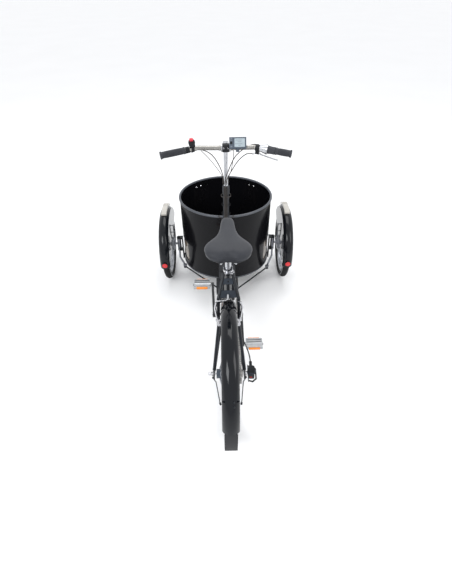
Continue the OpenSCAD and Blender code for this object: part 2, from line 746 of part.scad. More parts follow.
neck = [0, column_y - 22, column_top + 30];
module handlebar_cables() color("#2b2119") {
    cable([[-168, bar_y + 8, bar_z - 22], [-128, bar_y + 30, bar_z - 18],
        [-70, bar_y + 40, bar_z - 50], [-28, bar_y + 30, bar_z - 116], [-12, neck[1], 905],
        [-9, neck[1], neck[2]]], 2.4, 3, [0, 1, 0]);
    cable([[-122, bar_y + 4, bar_z - 14], [-84, bar_y + 16, bar_z - 60],
        [-40, bar_y + 20, bar_z - 120], [-18, neck[1] + 2, 915], [-16, neck[1] + 4, neck[2]]],
        1.6, 3, [0, 1, 0]);
    cable([[172, bar_y + 18, bar_z + 6], [122, bar_y + 46, bar_z - 6],
        [52, bar_y + 42, bar_z - 56], [14, bar_y + 34, bar_z - 130], [-3, neck[1], 905],
        [-2, neck[1], neck[2]]], 2.4, 3, [0, 1, 0]);
    cable([[138, bar_y + 2, bar_z - 32], [104, bar_y + 16, bar_z - 38],
        [62, bar_y + 22, bar_z - 76], [24, bar_y + 20, bar_z - 136], [6, neck[1], 905],
        [5, neck[1], neck[2]]], 2.4, 3, [0, 1, 0]);
    cable([[40, bar_y + 16, bar_z + 2], [38, bar_y + 20, bar_z - 60],
        [26, bar_y + 20, bar_z - 130], [14, neck[1] + 3, 915], [12, neck[1] + 4, neck[2]]],
        1.6, 3, [0, 1, 0]);
}

// Housings clipped down the column, back along the frame to the rear brake and the shift box
module brake_cables() color("#201c19") {
    back = column_y - column_r - 4.5;
    for (x = [-9, -2]) cable([[x, back, column_top + 20], [x, back - 1, 800], [x, back - 1, 600],
        [x, back - 1, 420]], 2.2, 2);
    cable([[5, back, column_top + 20], [5, back - 1, 800], [5, back - 1, 500],
        [14, back - 30, 372], [28, 740, 352], [30, 520, 345], [34, 450, 345]], 2.2, 2);
    for (z = [800, 600, 440]) translate([0, column_y, z]) difference() {
        cylinder(h = 4, r = 28);
        translate([0, 0, -1]) cylinder(h = 6, r = 26.6);
    }
}

// ---------- saddle ----------

post_head = 623;
module seatpost() color("#b5b7ba") seat_axis() {
    translate([0, 0, 330]) cylinder(h = post_head - 330, r = 13.6);
    translate([0, 0, post_head - 4]) rotate([-seat_lean, 0, 0]) {
        x_cylinder(56, 13, -28);
        for (s = [-1, 1]) side(s)
            pipe([[22, 104, 14], [22, 74, 4], [22, -46, 4], [30, -78, 16]], 3.5);
    }
}

module saddle() color("#33363d") {
    base = saddle_top - 62;
    rear = 100;
    hull() {
        for (s = [-1, 1]) translate([s * (saddle_w / 2 - 52), rear + 56, base + 34])
            scale([1, 1.05, 0.54]) sphere(52, $fn = 32);
        translate([0, rear + 150, base + 32]) scale([1, 1, 0.55]) sphere(46, $fn = 32);
    }
    hull() {
        translate([0, rear + 120, base + 32]) scale([1, 1, 0.55]) sphere(48, $fn = 32);
        translate([0, rear + saddle_l - 28, base + 38]) scale([1, 1, 0.8]) sphere(28, $fn = 32);
    }
}

// ---------- rear brake ----------

module brake_place() translate(boss) rotate([-brake_turn, 0, 0]) children();

// Local frame: z up along the stay, -y out of the brake's plane, x outward
module v_brake(s) color("#d8dadc") side(s) brake_place() {
    difference() {
        union() {
            translate([0, -24, 0]) rotate([-90, 0, 0]) cylinder(h = 13, r = 9);
            pipe([[0, -17, 0], [10, -17, 34], [17, -17, 74], [11, -17, 100]], 5);
            translate([-5, -17, 18]) x_cylinder(16, 5);
        }
        translate([0, -40, 0]) rotate([-90, 0, 0]) cylinder(h = 60, r = 4 + fit);
    }
    translate([-27.8, -42, 12]) cube([9, 50, 11]);
    translate([-19, -17, 18]) x_cylinder(15, 3);
}

module v_brake_left() {
    v_brake(-1);
    color("#d8dadc") side(-1) brake_place() {
        pipe([[12, -17, 105.1], [-28, -17, 107], [-38, -17, 112], [-42, -17, 134]], 2.6);
        rod([-30, -17, 107], [-62, -17, 107], 0.9);
    }
}

module v_brake_right() v_brake(1);

// ---------- battery ----------

module battery() color("#1a1b1e") {
    translate([-45, battery_y, battery_z]) cube([90, 240, 120]);
    translate([-61, battery_y, battery_z]) cube([122, 96, 46]);
    for (x = [-22, 14]) translate([x, 560, 490]) cube([8, 12, 30]);
    translate([-22, 560, 514]) cube([44, 12, 10]);
}

// ---------- assembly ----------

placed() tub_rear_wall();
placed() tub_front_wall();
placed() tub_floor();
placed() tub_hoops();
placed() tub_windows();
placed() tub_bolts();
placed() front_beam();
placed() column_tube();
placed() main_frame();
placed() rear_triangle();
placed() seat_clamp();
placed() rear_axle();
placed() click_box();
placed() chain();
placed() rear_fender();
placed() mud_flap();
placed() fender_stays();
placed() brake_cables();
placed() battery();
placed() steering_column();
placed() stem();
placed() handlebar();
placed() handlebar_cables();
placed() grip_left();
placed() grip_right();
placed() twist_grip();
placed() shifter_housing();
placed() brake_bracket(-1, 120);  // brake_bracket_left
placed() brake_bracket(1, 154);  // brake_bracket_right
placed() brake_lever(-1, 120);  // brake_lever_left
placed() brake_lever(1, 154);  // brake_lever_right
placed() horn_body();
placed() horn_button();
placed() display();
placed() mode_button();
placed() knuckle(-1);  // knuckle_left
placed() knuckle(1);  // knuckle_right
placed() front_fender(-1);  // front_fender_left
placed() front_fender(1);  // front_fender_right
placed() fender_lights(-1);  // fender_lights_left
placed() fender_lights(1);  // fender_lights_right
placed() tie_rod(-1);  // tie_rod_left
placed() tie_rod(1);  // tie_rod_right
placed() front_wheel(-1);  // front_wheel_left
placed() front_wheel(1);  // front_wheel_right
placed() front_tyre(-1);  // front_tyre_left
placed() front_tyre(1);  // front_tyre_right
placed() rear_rim();
placed() rear_hub();
placed() rear_tyre();
placed() sprocket();
placed() chainring();
placed() crank_left();
placed() crank_right();
placed() pedal(-1);  // pedal_left
placed() pedal(1);  // pedal_right
placed() seatpost();
placed() saddle();
placed() v_brake_left();
placed() v_brake_right();
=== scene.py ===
import json
import math

import bmesh
import bpy
from mathutils import Matrix, Vector


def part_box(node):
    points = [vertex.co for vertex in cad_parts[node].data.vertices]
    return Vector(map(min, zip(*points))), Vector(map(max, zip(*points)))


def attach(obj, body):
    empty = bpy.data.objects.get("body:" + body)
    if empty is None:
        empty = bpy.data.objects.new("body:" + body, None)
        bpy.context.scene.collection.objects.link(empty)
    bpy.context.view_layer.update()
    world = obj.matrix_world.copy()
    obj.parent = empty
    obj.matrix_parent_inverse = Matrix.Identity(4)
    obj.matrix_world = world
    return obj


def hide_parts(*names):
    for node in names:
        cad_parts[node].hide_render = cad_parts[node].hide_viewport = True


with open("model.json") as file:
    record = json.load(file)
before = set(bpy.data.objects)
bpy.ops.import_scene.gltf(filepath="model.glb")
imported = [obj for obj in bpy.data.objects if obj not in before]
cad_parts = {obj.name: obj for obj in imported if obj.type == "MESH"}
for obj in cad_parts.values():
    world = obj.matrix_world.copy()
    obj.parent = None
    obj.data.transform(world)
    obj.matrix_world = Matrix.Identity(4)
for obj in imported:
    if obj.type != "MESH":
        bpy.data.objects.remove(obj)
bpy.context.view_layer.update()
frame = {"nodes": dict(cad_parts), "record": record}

# ---------- places, all worked out from the frame ----------

joints = {j["name"]: j for j in frame["record"]["behaviour"]["joints"]}


def joint_at(name):
    return Vector(joints[name]["pos_m"])


def centre(node):
    low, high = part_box(node)
    return (Vector(low) + Vector(high)) / 2


SIDES = {"left": -1, "right": 1}
X = Vector((1, 0, 0))
Y = Vector((0, 1, 0))
Z = Vector((0, 0, 1))

REAR_AXLE = joint_at("rear_wheel_spin")
CRANK_AXLE = joint_at("crank_turn")
REAR_R = REAR_AXLE.z
FRONT_R = joint_at("front_wheel_left_spin").z
REAR_TYRE_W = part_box("rear_tyre")[1][0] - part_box("rear_tyre")[0][0]
FRONT_TYRE_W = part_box("front_tyre_left")[1][0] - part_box("front_tyre_left")[0][0]
MM = 0.001


def front_axle(side):
    return joint_at(f"front_wheel_{side}_spin")


# ---------- materials ----------

def socket(node, name):
    return node.inputs[name]


COAT_ROUGHNESS = 0.04
ROUGHNESS_SPREAD = 0.15
GRAIN_DEPTH = 0.0003


def surface(name, colour, rough, metal=0.0, coat=0.0, mottle=0.1, mottle_scale=9.0, grain=0.15,
            grain_scale=420.0, stretch=(1, 1, 1), sheen=0.0, shine=0.5):
    """A procedural finish: uneven colour, uneven roughness and a fine bump."""
    mat = bpy.data.materials.new(name)
    mat.use_nodes = True
    nodes = mat.node_tree.nodes
    links = mat.node_tree.links
    shader = nodes["Principled BSDF"]
    socket(shader, "Metallic").default_value = metal
    socket(shader, "Coat Weight").default_value = coat
    socket(shader, "Coat Roughness").default_value = COAT_ROUGHNESS
    socket(shader, "Sheen Weight").default_value = sheen
    socket(shader, "Specular IOR Level").default_value = shine
    place = nodes.new("ShaderNodeTexCoord")
    mapping = nodes.new("ShaderNodeMapping")
    socket(mapping, "Scale").default_value = stretch
    links.new(place.outputs["Object"], mapping.inputs["Vector"])

    cloud = nodes.new("ShaderNodeTexNoise")
    socket(cloud, "Scale").default_value = mottle_scale
    socket(cloud, "Detail").default_value = 5
    links.new(mapping.outputs["Vector"], cloud.inputs["Vector"])
    ramp = nodes.new("ShaderNodeValToRGB")
    ramp.color_ramp.elements[0].position = 0.3
    ramp.color_ramp.elements[1].position = 0.7
    ramp.color_ramp.elements[0].color = (*[c * (1 - mottle) for c in colour], 1)
    ramp.color_ramp.elements[1].color = (*[min(c * (1 + mottle), 1) for c in colour], 1)
    links.new(cloud.outputs["Fac"], ramp.inputs["Fac"])
    links.new(ramp.outputs["Color"], socket(shader, "Base Color"))

    spread = nodes.new("ShaderNodeMapRange")
    socket(spread, "To Min").default_value = rough * (1 - ROUGHNESS_SPREAD)
    socket(spread, "To Max").default_value = min(rough * (1 + ROUGHNESS_SPREAD), 1)
    links.new(cloud.outputs["Fac"], spread.inputs["Value"])
    links.new(spread.outputs["Result"], socket(shader, "Roughness"))

    fine = nodes.new("ShaderNodeTexNoise")
    socket(fine, "Scale").default_value = grain_scale
    socket(fine, "Detail").default_value = 3
    links.new(mapping.outputs["Vector"], fine.inputs["Vector"])
    bump = nodes.new("ShaderNodeBump")
    socket(bump, "Strength").default_value = grain
    socket(bump, "Distance").default_value = GRAIN_DEPTH
    links.new(fine.outputs["Fac"], bump.inputs["Height"])
    links.new(bump.outputs["Normal"], socket(shader, "Normal"))
    return mat


def pebbled(mat, scale, strength, distance):
    """Swaps the fine noise for cells, as in leather grain or a moulded reflector."""
    nodes = mat.node_tree.nodes
    links = mat.node_tree.links
    bump = next(n for n in nodes if n.type == "BUMP")
    mapping = next(n for n in nodes if n.type == "MAPPING")
    cells = nodes.new("ShaderNodeTexVoronoi")
    cells.feature = "SMOOTH_F1"
    socket(cells, "Scale").default_value = scale
    links.new(mapping.outputs["Vector"], cells.inputs["Vector"])
    links.new(cells.outputs["Distance"], bump.inputs["Height"])
    socket(bump, "Strength").default_value = strength
    socket(bump, "Distance").default_value = distance
    return mat


def window_tint():
    mat = surface("window_tint", (0.17, 0.125, 0.08), 0.12, coat=0.5, mottle=0.25, mottle_scale=5,
                  grain=0.02)
    shader = mat.node_tree.nodes["Principled BSDF"]
    socket(shader, "Alpha").default_value = 0.8
    socket(shader, "IOR").default_value = 1.49
    return mat


M = {
    "tub": surface("tub_gloss_black", (0.004, 0.004, 0.005), 0.20, coat=0.08, shine=0.1, mottle=0.25,
                   mottle_scale=3, grain=0.03, grain_scale=60),
    "tub_floor": pebbled(surface("tub_floor_board", (0.012, 0.012, 0.013), 0.7, mottle=0.3,
                                 shine=0.3), 260, 0.5, 0.0006),
    "hoop": surface("hoop_grey", (0.060, 0.066, 0.078), 0.38, metal=0.2, coat=0.1, mottle=0.12,
                    grain=0.1, stretch=(1, 1, 6)),
    "paint": surface("frame_black", (0.008, 0.010, 0.014), 0.32, coat=0.15, shine=0.2, mottle=0.2,
                     mottle_scale=16, grain=0.12, grain_scale=260),
    # Slate blue-grey: on the plates between the seat stays it is a painted sky reflection on black
    # plates; the click box cover shares the colour.
    "slate": surface("slate_and_painted_plate_reflection", (0.022, 0.028, 0.038), 0.42, metal=0.1, coat=0.05, shine=0.2,
                     mottle=0.2, mottle_scale=22, grain=0.2),
    "alloy": surface("satin_alloy", (0.50, 0.51, 0.53), 0.30, metal=1.0, mottle=0.10, grain=0.1,
                     mottle_scale=30, stretch=(6, 1, 1)),
    "bar": surface("bar_titanium", (0.34, 0.33, 0.31), 0.27, metal=1.0, mottle=0.12, grain=0.1,
                   mottle_scale=26, stretch=(1, 9, 9)),
    "chrome": surface("polished_steel", (0.60, 0.60, 0.62), 0.14, metal=1.0, mottle=0.06,
                      grain=0.04),
    "rim": surface("rim_alloy", (0.34, 0.35, 0.37), 0.28, metal=1.0, mottle=0.14, grain=0.1,
                   mottle_scale=40),
    "chain": surface("chain_steel", (0.34, 0.33, 0.32), 0.30, metal=1.0, mottle=0.35,
                     mottle_scale=60, grain=0.2),
    "ring": surface("ring_black", (0.022, 0.023, 0.026), 0.34, metal=0.6, coat=0.3, mottle=0.3,
                    mottle_scale=35, grain=0.15),
    "plastic": surface("moulded_black", (0.010, 0.011, 0.013), 0.46, shine=0.2, mottle=0.2, grain=0.35,
                       grain_scale=700),
    "gloss": surface("gloss_black", (0.005, 0.006, 0.008), 0.13, coat=0.22, shine=0.15, mottle=0.2,
                     mottle_scale=4, grain=0.02, grain_scale=50),
    "rubber": surface("dark_rubber", (0.016, 0.016, 0.018), 0.62, shine=0.3, mottle=0.2, grain=0.4,
                      grain_scale=800),
    "grip": pebbled(surface("grip_rubber", (0.030, 0.032, 0.038), 0.58, mottle=0.18, sheen=0.05,
                            shine=0.3), 520, 0.5, 0.0005),
    "tyre": surface("tyre_rubber", (0.010, 0.010, 0.011), 0.66, shine=0.2, mottle=0.3, mottle_scale=18,
                    grain=0.5, grain_scale=520),
    "stripe": pebbled(surface("reflective_band", (0.42, 0.43, 0.45), 0.36, metal=0.25,
                              mottle=0.1), 900, 0.4, 0.0002),
    "housing": surface("cable_housing", (0.024, 0.018, 0.014), 0.36, coat=0.15, shine=0.4, mottle=0.25,
                       mottle_scale=40, grain=0.1),
    "battery": surface("battery_case", (0.014, 0.015, 0.018), 0.42, shine=0.3, mottle=0.2, grain=0.4,
                       grain_scale=650),
    "case": surface("display_case", (0.060, 0.078, 0.105), 0.38, coat=0.15, mottle=0.12,
                    grain=0.25, grain_scale=650),
    "screen": surface("display_screen", (0.34, 0.40, 0.43), 0.14, coat=0.3, mottle=0.05,
                      mottle_scale=30, grain=0.02),
    "key": surface("soft_key", (0.13, 0.15, 0.18), 0.5, mottle=0.1, grain=0.2),
    "horn": surface("horn_red", (0.55, 0.03, 0.05), 0.24, coat=0.3, mottle=0.1, grain=0.05),
    "amber": pebbled(surface("amber_lens", (0.85, 0.25, 0.01), 0.16, coat=0.3, mottle=0.12,
                             mottle_scale=80), 420, 0.7, 0.0006),
    "red": pebbled(surface("red_lens", (0.62, 0.008, 0.014), 0.16, coat=0.3, mottle=0.15,
                           mottle_scale=80), 420, 0.7, 0.0006),
    "lamp": pebbled(surface("lamp_lens", (0.46, 0.44, 0.40), 0.25, coat=0.3, mottle=0.1),
                    300, 0.3, 0.0005),
    # The rear hub is black; its blue-grey colour is a painted highlight.
    "hub": surface("hub_painted_highlight", (0.060, 0.075, 0.098), 0.33, metal=0.5, coat=0.3, mottle=0.15,
                   grain=0.12),
    "crank": surface("crank_black", (0.012, 0.013, 0.015), 0.36, metal=0.3, coat=0.35,
                     mottle=0.25, mottle_scale=30, grain=0.2),
    "pedal": surface("pedal_cast", (0.42, 0.43, 0.44), 0.38, metal=1.0, mottle=0.15,
                     mottle_scale=50, grain=0.5, grain_scale=500),
    "knuckle": surface("knuckle_cast", (0.26, 0.27, 0.30), 0.42, metal=0.9, mottle=0.2,
                       mottle_scale=40, grain=0.5, grain_scale=450),
    "saddle": pebbled(surface("saddle_cover", (0.022, 0.024, 0.030), 0.55, mottle=0.12,
                              mottle_scale=14, sheen=0.08, shine=0.3), 900, 0.35, 0.0004),
    "seam": surface("saddle_seam", (0.018, 0.020, 0.024), 0.6, mottle=0.15, grain=0.6,
                    grain_scale=1200),
    "window": window_tint(),
    "floor": surface("pale_floor", (0.93, 0.93, 0.93), 0.75, mottle=0.01, mottle_scale=1,
                     grain=0.05, grain_scale=90),
}

NODE_LOOKS = {
    "tub": ["tub_rear_wall", "tub_front_wall"],
    "tub_floor": ["tub_floor"],
    "hoop": ["tub_hoops"],
    "window": ["tub_windows"],
    "chrome": ["tub_bolts", "rear_axle", "seat_clamp", "v_brake_left", "v_brake_right"],
    "paint": ["front_beam", "column_tube", "main_frame", "rear_triangle", "fender_stays",
              "steering_column", "tie_rod_left", "tie_rod_right"],
    "plastic": ["click_box", "horn_body", "mode_button", "brake_bracket_left",
                "brake_bracket_right"],
    "gloss": ["rear_fender", "front_fender_left", "front_fender_right", "brake_lever_left"],
    "rubber": ["mud_flap"],
    "housing": ["brake_cables", "handlebar_cables"],
    "battery": ["battery"],
    "alloy": ["stem", "shifter_housing", "brake_lever_right", "seatpost"],
    "bar": ["handlebar"],
    "case": ["display"],
    "horn": ["horn_button"],
    "knuckle": ["knuckle_left", "knuckle_right"],
    "lamp": ["fender_lights_left", "fender_lights_right"],
    "rim": ["front_wheel_left", "front_wheel_right", "rear_rim"],
    "tyre": ["front_tyre_left", "front_tyre_right", "rear_tyre"],
    "hub": ["rear_hub"],
    "chain": ["sprocket"],
    "ring": ["chainring"],
    "crank": ["crank_left", "crank_right"],
    "pedal": ["pedal_left", "pedal_right"],
}


def paint_nodes():
    for look, names in NODE_LOOKS.items():
        for name in names:
            for holder in frame["nodes"][name].material_slots:
                holder.material = M[look]


paint_nodes()

# ---------- mesh helpers ----------


def add_mesh(name, points, faces, look, smooth=True, slot=None):
    data = bpy.data.meshes.new(name)
    data.from_pydata([tuple(p) for p in points], [], faces)
    data.validate()
    data.update()
    obj = bpy.data.objects.new(name, data)
    bpy.context.collection.objects.link(obj)
    data.materials.append(M[look])
    for face in data.polygons:
        face.use_smooth = smooth
    mesh = bmesh.new()
    mesh.from_mesh(data)
    bmesh.ops.recalc_face_normals(mesh, faces=mesh.faces)
    mesh.to_mesh(data)
    mesh.free()
    return obj


def across(axis):
    """Two unit directions square to an axis."""
    axis = Vector(axis).normalized()
    guide = Z if abs(axis.z) < 0.9 else Y
    u = axis.cross(guide).normalized()
    return u, axis.cross(u).normalized()


def turned(at, axis, profile, steps=40, ripple=0.0, ripples=0):
    """Points and faces of a profile of (radius, along) turned round an axis, closed at both ends."""
    axis = Vector(axis).normalized()
    u, v = across(axis)
    points = []
    for radius, along in profile:
        for k in range(steps):
            a = 2 * math.pi * k / steps
            r = radius * (1 + ripple * math.cos(ripples * a))
            points.append(Vector(at) + axis * along + (u * math.cos(a) + v * math.sin(a)) * r)
    faces = []
    for i in range(len(profile) - 1):
        for k in range(steps):
            n = (k + 1) % steps
            faces.append((i * steps + k, i * steps + n, (i + 1) * steps + n, (i + 1) * steps + k))
    last = (len(profile) - 1) * steps
    faces.append(tuple(reversed(range(steps))))
    faces.append(tuple(last + k for k in range(steps)))
    return points, faces


def band(at, axis, loop, steps=96):
    """Points and faces of a closed loop of (radius, along) carried round an axis."""
    axis = Vector(axis).normalized()
    u, v = across(axis)
    count = len(loop)
    points = []
    faces = []
    for k in range(steps):
        a = 2 * math.pi * k / steps
        out = u * math.cos(a) + v * math.sin(a)
        points += [Vector(at) + axis * along + out * radius for radius, along in loop]
        n = (k + 1) % steps
        for i in range(count):
            j = (i + 1) % count
            faces.append((k * count + i, k * count + j, n * count + j, n * count + i))
    return points, faces


def block(at, size, across_x=X, across_y=Y, bevel=0.12):
    """Points and faces of a chamfered block: size along x, y and z of its own directions."""
    dx = Vector(across_x).normalized()
    dy = Vector(across_y).normalized()
    dz = dx.cross(dy)
    hx, hy, hz = [s / 2 for s in size]
    c = min(size) * bevel
    rows = [(-hz, c), (-hz + c, 0), (hz - c, 0), (hz, c)]
    points = []
    for height, inset in rows:
        x, y = hx - inset, hy - inset
        outline = [(x - c, y), (x, y - c), (x, -y + c), (x - c, -y), (-x + c, -y), (-x, -y + c),
                   (-x, y - c), (-x + c, y)]
        points += [Vector(at) + dx * p + dy * q + dz * height for p, q in outline]
    faces = [tuple(range(8)), tuple(24 + k for k in range(8))]
    for i in range(3):
        for k in range(8):
            n = (k + 1) % 8
            faces.append((i * 8 + k, i * 8 + n, (i + 1) * 8 + n, (i + 1) * 8 + k))
    return points, faces


def together(parts):
    """Several sets of points and faces as one."""
    points = []
    faces = []
    for some, found in parts:
        base = len(points)
        points += some
        faces += [tuple(base + i for i in f) for f in found]
    return points, faces


def tube(path, radius, sides=10, smooth_steps=6):
    """Points and faces of a round tube along a smooth path."""
    path = [Vector(p) for p in path]
    fine = []
    for i in range(len(path) - 1):
        a, b = path[max(i - 1, 0)], path[i]
        c, d = path[i + 1], path[min(i + 2, len(path) - 1)]
        for k in range(smooth_steps):
            t = k / smooth_steps
            fine.append(0.5 * (2 * b + (c - a) * t + (2 * a - 5 * b + 4 * c - d) * t * t
                               + (3 * b - a - 3 * c + d) * t ** 3))
    fine.append(path[-1])
    points = []
    u = across(fine[1] - fine[0])[0]
    for i, p in enumerate(fine):
        heading = (fine[min(i + 1, len(fine) - 1)] - fine[max(i - 1, 0)]).normalized()
        u = (u - heading * u.dot(heading)).normalized()
        w = heading.cross(u)
        points += [p + (u * math.cos(2 * math.pi * k / sides)
                        + w * math.sin(2 * math.pi * k / sides)) * radius for k in range(sides)]
    faces = [tuple(reversed(range(sides)))]
    for i in range(len(fine) - 1):
        for k in range(sides):
            n = (k + 1) % sides
            faces.append((i * sides + k, i * sides + n, (i + 1) * sides + n, (i + 1) * sides + k))
    last = (len(fine) - 1) * sides
    faces.append(tuple(last + k for k in range(sides)))
    return points, faces


def bolt(at, axis, radius, height, sides=24):
    """A round socket head: chamfered rim, dished top with a six-sided recess."""
    wide = [(radius, 0), (radius, height * 0.75), (radius * 0.86, height)]
    points, faces = turned(at, axis, wide + [(radius * 0.52, height)], sides)
    well = turned(Vector(at), axis, [(radius * 0.5, height * 1.001), (radius * 0.46, height * 0.5)],
                  6)
    return together([(points, faces[:-1]), (well[0], well[1][:-2] + [well[1][-1]])])


def piece(name, shape, look, body, slot, smooth=True):
    obj = add_mesh(name, shape[0], shape[1], look, smooth, slot)
    if smooth:
        sharpen(obj)
    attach(obj, body)
    return obj


def sharpen(obj, degrees=35):
    """Marks edges sharper than an angle so that flats and chamfers stay crisp."""
    data = obj.data
    mesh = bmesh.new()
    mesh.from_mesh(data)
    for edge in mesh.edges:
        if len(edge.link_faces) == 2 and edge.calc_face_angle(0) > math.radians(degrees):
            edge.smooth = False
    mesh.to_mesh(data)
    mesh.free()


# ---------- saddle ----------

def along_curve(stations, t):
    """A smooth value between stations of (place, value)."""
    for i in range(len(stations) - 1):
        (a, va), (b, vb) = stations[i], stations[i + 1]
        if t <= b:
            k = (t - a) / (b - a)
            before = stations[max(i - 1, 0)]
            after = stations[min(i + 2, len(stations) - 1)]
            ma = (vb - before[1]) / max(b - before[0], 1e-6) * (b - a)
            mb = (after[1] - va) / max(after[0] - a, 1e-6) * (b - a)
            return ((2 * k ** 3 - 3 * k * k + 1) * va + (k ** 3 - 2 * k * k + k) * ma
                    + (3 * k * k - 2 * k ** 3) * vb + (k ** 3 - k * k) * mb)
    return stations[-1][1]


SADDLE_LOW, SADDLE_HIGH = [Vector(c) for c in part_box("saddle")]
SADDLE_HALF = SADDLE_HIGH.x
SADDLE_WIDTH = [(0.0, 0.50), (0.03, 0.72), (0.08, 0.88), (0.15, 0.97), (0.23, 1.0), (0.31, 0.95),
                (0.40, 0.78), (0.50, 0.56), (0.60, 0.43), (0.72, 0.35), (0.84, 0.31),
                (0.93, 0.27), (0.98, 0.20), (1.0, 0.10)]
SADDLE_TOP = [(0.0, -0.020), (0.04, -0.007), (0.12, 0.0), (0.25, -0.001), (0.45, -0.006),
              (0.65, -0.008), (0.85, -0.007), (0.95, -0.010), (1.0, -0.018)]
SADDLE_DEPTH = [(0.0, 0.026), (0.05, 0.044), (0.2, 0.056), (0.45, 0.052), (0.7, 0.046),
                (0.92, 0.038), (1.0, 0.016)]
SADDLE_STATIONS = 56
SADDLE_RING = 44
SADDLE_CROWN = 0.46
GROOVE_DEPTH = 0.0075
GROOVE_HALF = 0.013
GROOVE_END = 0.62
NOTCH_DEPTH = 0.016
NOTCH_HALF = 0.022
NOTCH_END = 0.16
PIPING_R = 1.6 * MM
PIPING_ANGLE = 102
STITCH_R = 0.5 * MM
STITCH_ANGLE = math.radians(88)
STITCH_SPACING = 1 / 97
STITCH_FILL = 0.55


def saddle_point(t, a):
    """A point of the cover: t from the rear edge to the nose, a round the section from the top."""
    length = SADDLE_HIGH.y - SADDLE_LOW.y
    half = along_curve(SADDLE_WIDTH, t) * SADDLE_HALF
    top = SADDLE_HIGH.z + along_curve(SADDLE_TOP, t)
    deep = along_curve(SADDLE_DEPTH, t)
    s, c = math.sin(a), math.cos(a)
    x = half * math.copysign(abs(s) ** 0.78, s)
    crown = deep * SADDLE_CROWN
    if c > 0:
        z = top - crown + crown * c ** 0.75
    else:
        z = top - crown - (deep - crown) * abs(c) ** 0.55
        x *= 1 - 0.16 * abs(c)
    groove = GROOVE_DEPTH * math.exp(-(x / GROOVE_HALF) ** 2) * max(0, 1 - (t / GROOVE_END) ** 3)
    if c > 0:
        z -= groove
    notch = NOTCH_DEPTH * math.exp(-(x / NOTCH_HALF) ** 2) * max(0, 1 - t / NOTCH_END)
    return Vector((x, SADDLE_LOW.y + t * length + notch, z))


def saddle_shape():
    """Points and faces of the whole cover, with stations closer together at its two ends."""
    points = []
    faces = []
    for i in range(SADDLE_STATIONS):
        t = (1 - math.cos(math.pi * i / (SADDLE_STATIONS - 1))) / 2
        for k in range(SADDLE_RING):
            points.append(saddle_point(t, 2 * math.pi * k / SADDLE_RING))
    for i in range(SADDLE_STATIONS - 1):
        for k in range(SADDLE_RING):
            n = (k + 1) % SADDLE_RING
            faces.append((i * SADDLE_RING + k, i * SADDLE_RING + n,
                          (i + 1) * SADDLE_RING + n, (i + 1) * SADDLE_RING + k))
    last = (SADDLE_STATIONS - 1) * SADDLE_RING
    faces.append(tuple(reversed(range(SADDLE_RING))))
    faces.append(tuple(last + k for k in range(SADDLE_RING)))
    return points, faces


def make_saddle():
    cover = add_mesh("saddle_cover", *saddle_shape(), "saddle", slot="saddle_cover")
    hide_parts("saddle")
    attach(cover, "seat")
    seams = []
    for sign in (-1, 1):
        path = [saddle_point(t / 30, sign * math.radians(PIPING_ANGLE)) for t in range(31)]
        seams.append(tube(path, PIPING_R, 8, 3))
    path = [saddle_point(0.0, math.radians(a)) for a in range(PIPING_ANGLE, 259, 13)]
    seams.append(tube(path, PIPING_R, 8, 2))
    piece("saddle_piping", together(seams), "seam", "seat", "saddle_cover")
    stitches = []
    for sign in (-1, 1):
        outward = Vector((sign * 0.4 * MM, 0, 0.3 * MM))
        for stitch in range(3, 94):
            a = saddle_point(stitch * STITCH_SPACING, sign * STITCH_ANGLE)
            b = saddle_point((stitch + STITCH_FILL) * STITCH_SPACING, sign * STITCH_ANGLE)
            stitches.append(tube([a + outward, b + outward], STITCH_R, 5, 1))
    piece("saddle_stitching", together(stitches), "seam", "seat", "saddle_cover")


make_saddle()

# ---------- tyres ----------

TREAD_HEIGHT = 1.6 * MM
TREAD_LIFT = 0.1 * MM
TREAD_SLANT = 0.35
# Each row's angle from the middle of the tread, and its width against a middle block
TREAD_ROWS = [(-0.98, 1.1), (-0.55, 1.5), (-0.17, 1.3), (0.17, 1.3), (0.55, 1.5), (0.98, 1.1)]
STRIPE_LOW = math.radians(68)
STRIPE_HIGH = math.radians(76)
STRIPE_THICK = 0.5 * MM
REAR_RIM_R = REAR_R - 62 * MM
FRONT_RIM_R = FRONT_R - 58 * MM


def tread_block(axle, radius, width, turn, lean, size):
    """A small block standing on the tyre, at an angle round the wheel and over its shoulder."""
    tube_r = width / 2
    out = Vector((0, math.cos(turn), math.sin(turn)))
    round_way = Vector((0, -math.sin(turn), math.cos(turn)))
    normal = out * math.cos(lean) + X * math.sin(lean)
    foot = axle + out * (radius - tube_r) + normal * (tube_r + TREAD_LIFT)
    sideways = X * math.cos(lean) - out * math.sin(lean)
    slant = round_way + sideways * math.copysign(TREAD_SLANT, lean)
    return block(foot, size, slant, sideways, 0.14)


def make_tyre(name, axle, radius, rim_r, width, body, count):
    """Tread, two reflective stripes and a valve on one CAD tyre; count is the blocks in a row."""
    blocks = []
    for i in range(count):
        for j, (lean, stretch) in enumerate(TREAD_ROWS):
            turn = 2 * math.pi * (i + 0.5 * (j % 2)) / count
            size = (radius * 2 * math.pi / count * 0.62, width * 0.105 * stretch, TREAD_HEIGHT)
            blocks.append(tread_block(axle, radius, width, turn, lean, size))
    piece(f"{name}_tread", together(blocks), "tyre", body, "tyre_rubber", smooth=False)
    stripes = []
    tube_r = width / 2
    for sign in (-1, 1):
        loop = []
        for lean, grow in ((STRIPE_LOW, 0.0), (STRIPE_HIGH, 0.0), (STRIPE_HIGH, STRIPE_THICK),
                           (STRIPE_LOW, STRIPE_THICK)):
            loop.append((radius - tube_r + (tube_r + grow) * math.cos(lean),
                         sign * (tube_r + grow) * math.sin(lean)))
        stripes.append(band(axle, X, loop, 120))
    piece(f"{name}_stripes", together(stripes), "stripe", body, "tyre_rubber")
    valve = axle + Vector((0, 0.16 * rim_r, rim_r * 0.985))
    stem = turned(valve, axle - valve, [(3.2 * MM, 0), (3.2 * MM, 24 * MM), (4 * MM, 25 * MM),
                                        (4 * MM, 36 * MM), (2 * MM, 38 * MM)], 12)
    piece(f"{name}_valve", stem, "rubber", body, "flap_rubber")


